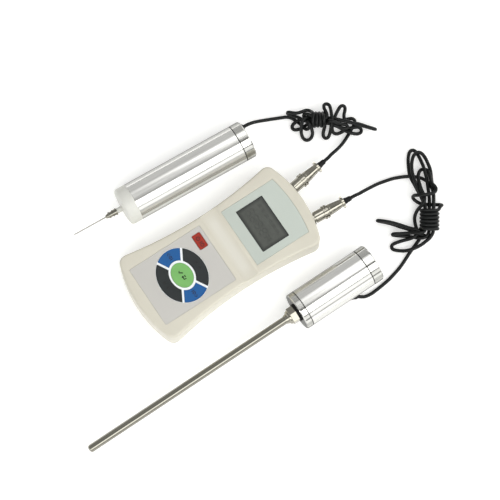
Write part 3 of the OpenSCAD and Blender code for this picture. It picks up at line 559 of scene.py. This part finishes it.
SLOT_MATS = {
    "case_plastic": case_mat, "display_panel": display_mat, "window_glass": window_mat, "lcd_glass": lcd_mat,
    "keypad_film": keypad_mat, "key_red": key_red, "key_green": key_green, "key_blue": key_blue, "key_black": key_black,
    "circuit_board": board_mat, "black_plastic": black_mat, "battery_wrap": wrap_mat, "spring_steel": spring_mat,
    "black_rubber": rubber_mat, "nickel_plate": nickel_mat, "pin_brass": brass_mat, "handle_aluminium": alu_a,
    "nose_plastic": nose_mat, "probe_steel": steel_mat, "lead_jacket": jacket_mat,
}
BY_NODE = {
    "battery_door": door_mat,
    "rod_tube": alu_b, "rod_front_cap": cap_b, "rod_rear_cap": cap_b, "needle_rear_cap": cap_a,
}
NODE_SLOTS = {
    "case_plastic": "front_case rear_case battery_door",
    "display_panel": "display_plate", "window_glass": "display_window", "lcd_glass": "lcd_module",
    "keypad_film": "keypad_plate", "key_red": "key_power", "key_green": "key_enter",
    "key_blue": "key_left key_right", "key_black": "key_up key_down",
    "circuit_board": "main_board keypad_board needle_board rod_board",
    "black_plastic": "board_chips battery_snap socket_inserts plug_inserts",
    "battery_wrap": "battery", "spring_steel": "case_screws board_screws key_domes lcd_holder",
    "black_rubber": "socket_seals lead_sleeves needle_lead_bush rod_lead_grommet rod_washer probe_seal_rings",
    "nickel_plate": "socket_left socket_right socket_nuts coupling_ring_left coupling_ring_right plug_shells clamp_nuts gland_nut gland_ferrule",
    "pin_brass": "socket_pins", "handle_aluminium": "needle_tube needle_rear_cap rod_tube rod_front_cap rod_rear_cap",
    "nose_plastic": "nose_cap", "probe_steel": "needle_hub needle probe_rod rod_sensor_tip",
}


# smooth shading over gentle edges and a small bevel on the sharp ones, as modifiers only
def soft_group():
    g = bpy.data.node_groups.new("soft_edges", "GeometryNodeTree")
    g.interface.new_socket("Geometry", in_out="INPUT", socket_type="NodeSocketGeometry")
    g.interface.new_socket("Geometry", in_out="OUTPUT", socket_type="NodeSocketGeometry")
    i, o = g.nodes.new("NodeGroupInput"), g.nodes.new("NodeGroupOutput")
    merge = g.nodes.new("GeometryNodeMergeByDistance")
    merge.inputs["Distance"].default_value = 2e-6
    face = g.nodes.new("GeometryNodeSetShadeSmooth")
    face.domain = "FACE"
    face.inputs["Shade Smooth"].default_value = True
    edge = g.nodes.new("GeometryNodeSetShadeSmooth")
    edge.domain = "EDGE"
    ang = g.nodes.new("GeometryNodeInputMeshEdgeAngle")
    less = g.nodes.new("FunctionNodeCompare")
    less.data_type = "FLOAT"
    less.operation = "LESS_THAN"
    less.inputs["B"].default_value = math.radians(32)
    g.links.new(i.outputs[0], merge.inputs["Geometry"])
    g.links.new(merge.outputs["Geometry"], face.inputs["Geometry"])
    g.links.new(face.outputs["Geometry"], edge.inputs["Geometry"])
    g.links.new(ang.outputs["Unsigned Angle"], less.inputs["A"])
    g.links.new(less.outputs["Result"], edge.inputs["Shade Smooth"])
    g.links.new(edge.outputs["Geometry"], o.inputs[0])
    return g


SOFT = soft_group()


def finish_node(o, bevel=0.0):
    mod = o.modifiers.new("soft", "NODES")
    mod.node_group = SOFT
    if bevel:
        b = o.modifiers.new("bevel", "BEVEL")
        b.width = bevel
        b.segments = 2
        b.limit_method = "ANGLE"
        b.angle_limit = math.radians(32)
        b.harden_normals = True
        b.use_clamp_overlap = True


BEVELS = {"front_case": 0.0, "rear_case": 0.0, "display_plate": 0.0001, "keypad_plate": 0.0001,
          "key_power": 0.00025, "key_enter": 0.00025, "key_left": 0.00025, "key_right": 0.00025, "key_up": 0.00025,
          "key_down": 0.00025, "coupling_ring_left": 0.0002, "coupling_ring_right": 0.0002, "gland_nut": 0.0003,
          "rod_washer": 0.0003, "rod_tube": 0.0002, "needle_tube": 0.0002, "battery_door": 0.0}
for s, names in NODE_SLOTS.items():
    for n in names.split():
        o = NODES[n]
        o.data.materials.clear()
        o.data.materials.append(BY_NODE.get(n, SLOT_MATS[s]))
        finish_node(o, BEVELS.get(n, 0.0))
for o in (lead_a, lead_b):
    o.data.materials.append(jacket_mat)


# ---------------------------------------------------------------- thin printed marks on the keys and the display
def strokes(name, lines, width, z, body, mat, centre=(0, 0), closed=()):
    """Flat printed strokes, each a line of points in mm, as one thin raised mesh."""
    verts, faces = [], []
    for k, pts in enumerate(lines):
        p = [Vector((a[0] + centre[0], a[1] + centre[1], 0)) * MM for a in pts]
        loop = k in closed
        n = len(p)
        left, rightp = [], []
        for i in range(n):
            a = p[(i - 1) % n] if (loop or i > 0) else p[i]
            b = p[(i + 1) % n] if (loop or i < n - 1) else p[i]
            t = (b - a).normalized()
            s = Vector((-t.y, t.x, 0)) * width * MM / 2
            left.append(p[i] + s)
            rightp.append(p[i] - s)
        base = len(verts)
        lo, hi = z * MM, (z + 0.06) * MM
        for i in range(n):
            for q in (left[i], rightp[i]):
                verts.append((q.x, q.y, lo))
                verts.append((q.x, q.y, hi))
        count = n if loop else n - 1
        for i in range(count):
            a, b = base + 4 * i, base + 4 * ((i + 1) % n)
            faces += [(a + 1, b + 1, b + 3, a + 3), (a, a + 2, b + 2, b), (a, b, b + 1, a + 1), (a + 2, a + 3, b + 3, b + 2)]
        if not loop:
            faces += [(base, base + 1, base + 3, base + 2),
                      (base + 4 * (n - 1), base + 4 * (n - 1) + 2, base + 4 * (n - 1) + 3, base + 4 * (n - 1) + 1)]
    me = bpy.data.meshes.new(name)
    me.from_pydata(verts, [], faces)
    me.update()
    o = bpy.data.objects.new(name, me)
    bpy.context.scene.collection.objects.link(o)
    me.materials.append(mat)
    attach(o, body)
    return o


def ink(name, hexa):
    m = Mat(name, Roughness=0.4)
    n = m.noise(700, 3)
    m.set("Base Color", m.ramp(n, [(0.3, tint(hexa, 0.85)), (0.7, tint(hexa, 1.15))]))
    m.bump(m.noise(3000, 2), 0.1, 0.00003)
    return m.m


def arc2(cx, cy, r, a0, a1, n=14):
    return [(cx + r * math.cos(math.radians(a0 + (a1 - a0) * i / n)), cy + r * math.sin(math.radians(a0 + (a1 - a0) * i / n)))
            for i in range(n + 1)]


KEY_TOP = 30.3
tri_up = lambda cx, cy, s: [(cx - s, cy - 0.5 * s), (cx, cy + 0.8 * s), (cx + s, cy - 0.5 * s)]
tri_dn = lambda cx, cy, s: [(cx - s, cy + 0.5 * s), (cx, cy - 0.8 * s), (cx + s, cy + 0.5 * s)]
tri_lt = lambda cx, cy, s: [(cx + 0.5 * s, cy - s), (cx - 0.8 * s, cy), (cx + 0.5 * s, cy + s)]
tri_rt = lambda cx, cy, s: [(cx - 0.5 * s, cy - s), (cx + 0.8 * s, cy), (cx - 0.5 * s, cy + s)]
ink_black, ink_blue = ink("ink_black", "#0B0D0E"), ink("ink_blue", "#0F2447")
ink_red, ink_green = ink("ink_red", "#43130F"), ink("ink_green", "#050705")
strokes("mark_up", [tri_up(-3, 0, 1.5), tri_up(3, 0, 1.5), [(-3, -2), (-3, 0.4)], [(3, -2), (3, 0.4)]], 0.9, KEY_TOP,
        "key_up_body", ink_black, (0, -24.9))
strokes("mark_down", [tri_dn(-3, 0, 1.5), tri_dn(3, 0, 1.5), [(-3, 2), (-3, -0.4)], [(3, 2), (3, -0.4)]], 0.9, KEY_TOP,
        "key_down_body", ink_black, (0, -60.3))
strokes("mark_left", [tri_lt(-2.4, 0, 1.5), tri_lt(0.2, 0, 1.5), [(1.4, -1.6), (1.4, 1.6)], [(3, -1.6), (3, 1.6)]], 0.8, KEY_TOP,
        "key_left_body", ink_blue, (-21, -42.6))
strokes("mark_right", [tri_rt(2.4, 0, 1.5), tri_rt(-0.2, 0, 1.5), [(-1.4, -1.6), (-1.4, 1.6)], [(-3, -1.6), (-3, 1.6)]], 0.8,
        KEY_TOP, "key_right_body", ink_blue, (21, -42.6))
strokes("mark_enter", [[(-4.8, -0.2), (-3.6, -1.5), (-1.4, 1.6)], [(4.6, 1.6), (4.6, -0.6), (1.6, -0.6)], tri_lt(1.8, -0.6, 0.9),
                       [(1.2, 1.6), (3.2, 1.6)]], 1.1, KEY_TOP, "key_enter_body", ink_green, (0, -42.6))
strokes("mark_power", [arc2(-2.6, -0.2, 1.7, 125, 415, 16), [(-2.6, 0.2), (-2.6, 2.2)], [(1.6, -1.9), (1.6, 1.9)],
                       arc2(4.4, 0, 1.5, 0, 337, 15)], 0.75, KEY_TOP, "key_power_body", ink_red, (-18.3, -11.1),
        closed=(3,))

# unlit segments of the display, faint under the glass
seg_mat = ink("segment_tint", "#2D302C")
segs = []
for cx in (-15.6, -8.2, -0.8, 6.6):
    w, h = 2.3, 3.9
    cy = 43.2
    segs += [[(cx - w + .5, cy + h), (cx + w - .5, cy + h)], [(cx - w + .5, cy), (cx + w - .5, cy)],
             [(cx - w + .5, cy - h), (cx + w - .5, cy - h)], [(cx - w, cy + .5), (cx - w, cy + h - .5)],
             [(cx + w, cy + .5), (cx + w, cy + h - .5)], [(cx - w, cy - h + .5), (cx - w, cy - .5)],
             [(cx + w, cy - h + .5), (cx + w, cy - .5)]]
for cx in (12.6, 16.6):
    segs += [[(cx - 1.2, 45.4), (cx + 1.2, 45.4)], [(cx - 1.2, 43.2), (cx + 1.2, 43.2)], [(cx - 1.2, 41), (cx + 1.2, 41)]]
for cx in (-16, -10, -4, 2, 8, 14):
    segs += [[(cx - 1.6, 53.6), (cx + 1.6, 53.6)], [(cx - 1.6, 55.2), (cx + 1.6, 55.2)]]
strokes("display_segments", segs, 0.62, 28.6, "housing", seg_mat)

# ---------------------------------------------------------------- floor, light
fl = bpy.data.meshes.new("floor")
fl.from_pydata([(-6, -6, 0), (6, -6, 0), (6, 6, 0), (-6, 6, 0)], [], [(0, 1, 2, 3)])
floor = bpy.data.objects.new("floor", fl)
floor.location.z = -0.0002
bpy.context.scene.collection.objects.link(floor)
fm = Mat("floor_paper", Roughness=0.9)
fm.b.inputs["Specular IOR Level"].default_value = 0.0
fm.set("Base Color", fm.ramp(fm.noise(3, 2), [(0.3, (0.76, 0.76, 0.755)), (0.7, (0.78, 0.78, 0.775))]))
fm.b.inputs["Emission Color"].default_value = (1, 1, 0.99, 1)
fm.b.inputs["Emission Strength"].default_value = 0.41
fl.materials.append(fm.m)


# One wide soft light hangs over the +X side, split by the dark gap between its two panels; the -X side is a grey wall.
world = bpy.data.worlds.new("studio")
bpy.context.scene.world = world
world.use_nodes = True
wt = world.node_tree
bg = wt.nodes["Background"]
tc = wt.nodes.new("ShaderNodeTexCoord")
sep = wt.nodes.new("ShaderNodeSeparateXYZ")
wt.links.new(tc.outputs["Generated"], sep.inputs[0])
roll = wt.nodes.new("ShaderNodeMath")
roll.operation = "ARCTAN2"
wt.links.new(sep.outputs["X"], roll.inputs[0])
wt.links.new(sep.outputs["Z"], roll.inputs[1])
part = wt.nodes.new("ShaderNodeMath")
part.operation = "MULTIPLY_ADD"
part.inputs[1].default_value = 0.5 / math.pi
part.inputs[2].default_value = 0.5
wt.links.new(roll.outputs[0], part.inputs[0])
strips = wt.nodes.new("ShaderNodeValToRGB")
STOPS = [(-90, 0.175), (-55, 0.155), (-12, 0.172), (-4, 0.158), (2, 0.12), (9.5, 0.11), (11, 0.01), (17.5, 0.01), (18.5, 0.98), (52, 0.98), (53, 0.03),
         (58.5, 0.03), (59.5, 0.40), (80, 0.36), (82, 0.05), (86, 0.05), (90, 0.30)]
e = strips.color_ramp.elements
while len(e) < len(STOPS):
    e.new(0.5)
for k, (deg, v) in enumerate(STOPS):
    e[k].position = 0.5 + deg / 360
    e[k].color = (v, v, v * 0.985, 1)
wt.links.new(part.outputs[0], strips.inputs["Fac"])
# a small panel far over the +Y end
slope = wt.nodes.new("ShaderNodeMath")
slope.operation = "DIVIDE"
wt.links.new(sep.outputs["Y"], slope.inputs[0])
wt.links.new(sep.outputs["Z"], slope.inputs[1])
far_end = wt.nodes.new("ShaderNodeValToRGB")
for k, (pos, v) in enumerate([(0.150, 0), (0.185, 1), (0.25, 1), (0.30, 0), (0.85, 0), (0.95, 0.45)]):
    if k > 1:
        far_end.color_ramp.elements.new(0.9)
    far_end.color_ramp.elements[k].position = pos
    far_end.color_ramp.elements[k].color = (v, v, v, 1)
wt.links.new(slope.outputs[0], far_end.inputs["Fac"])
near = wt.nodes.new("ShaderNodeValToRGB")
for k, (pos, v) in enumerate([(0.38, 0), (0.43, 1), (0.50, 1), (0.53, 0)]):
    if k > 1:
        near.color_ramp.elements.new(0.9)
    near.color_ramp.elements[k].position = pos
    near.color_ramp.elements[k].color = (v, v, v, 1)
wt.links.new(part.outputs[0], near.inputs["Fac"])
both = wt.nodes.new("ShaderNodeMath")
both.operation = "MULTIPLY"
wt.links.new(far_end.outputs["Color"], both.inputs[0])
wt.links.new(near.outputs["Color"], both.inputs[1])
lamp = wt.nodes.new("ShaderNodeMix")
lamp.data_type = "RGBA"
wt.links.new(both.outputs[0], lamp.inputs["Factor"])
wt.links.new(strips.outputs["Color"], [q for q in lamp.inputs if q.name == "A" and q.type == "RGBA"][0])
[q for q in lamp.inputs if q.name == "B" and q.type == "RGBA"][0].default_value = (0.98, 0.98, 0.98, 1)
wt.links.new([q for q in lamp.outputs if q.type == "RGBA"][0], bg.inputs["Color"])
bg.inputs["Strength"].default_value = 2.95

bpy.context.scene.view_settings.view_transform = "Standard"
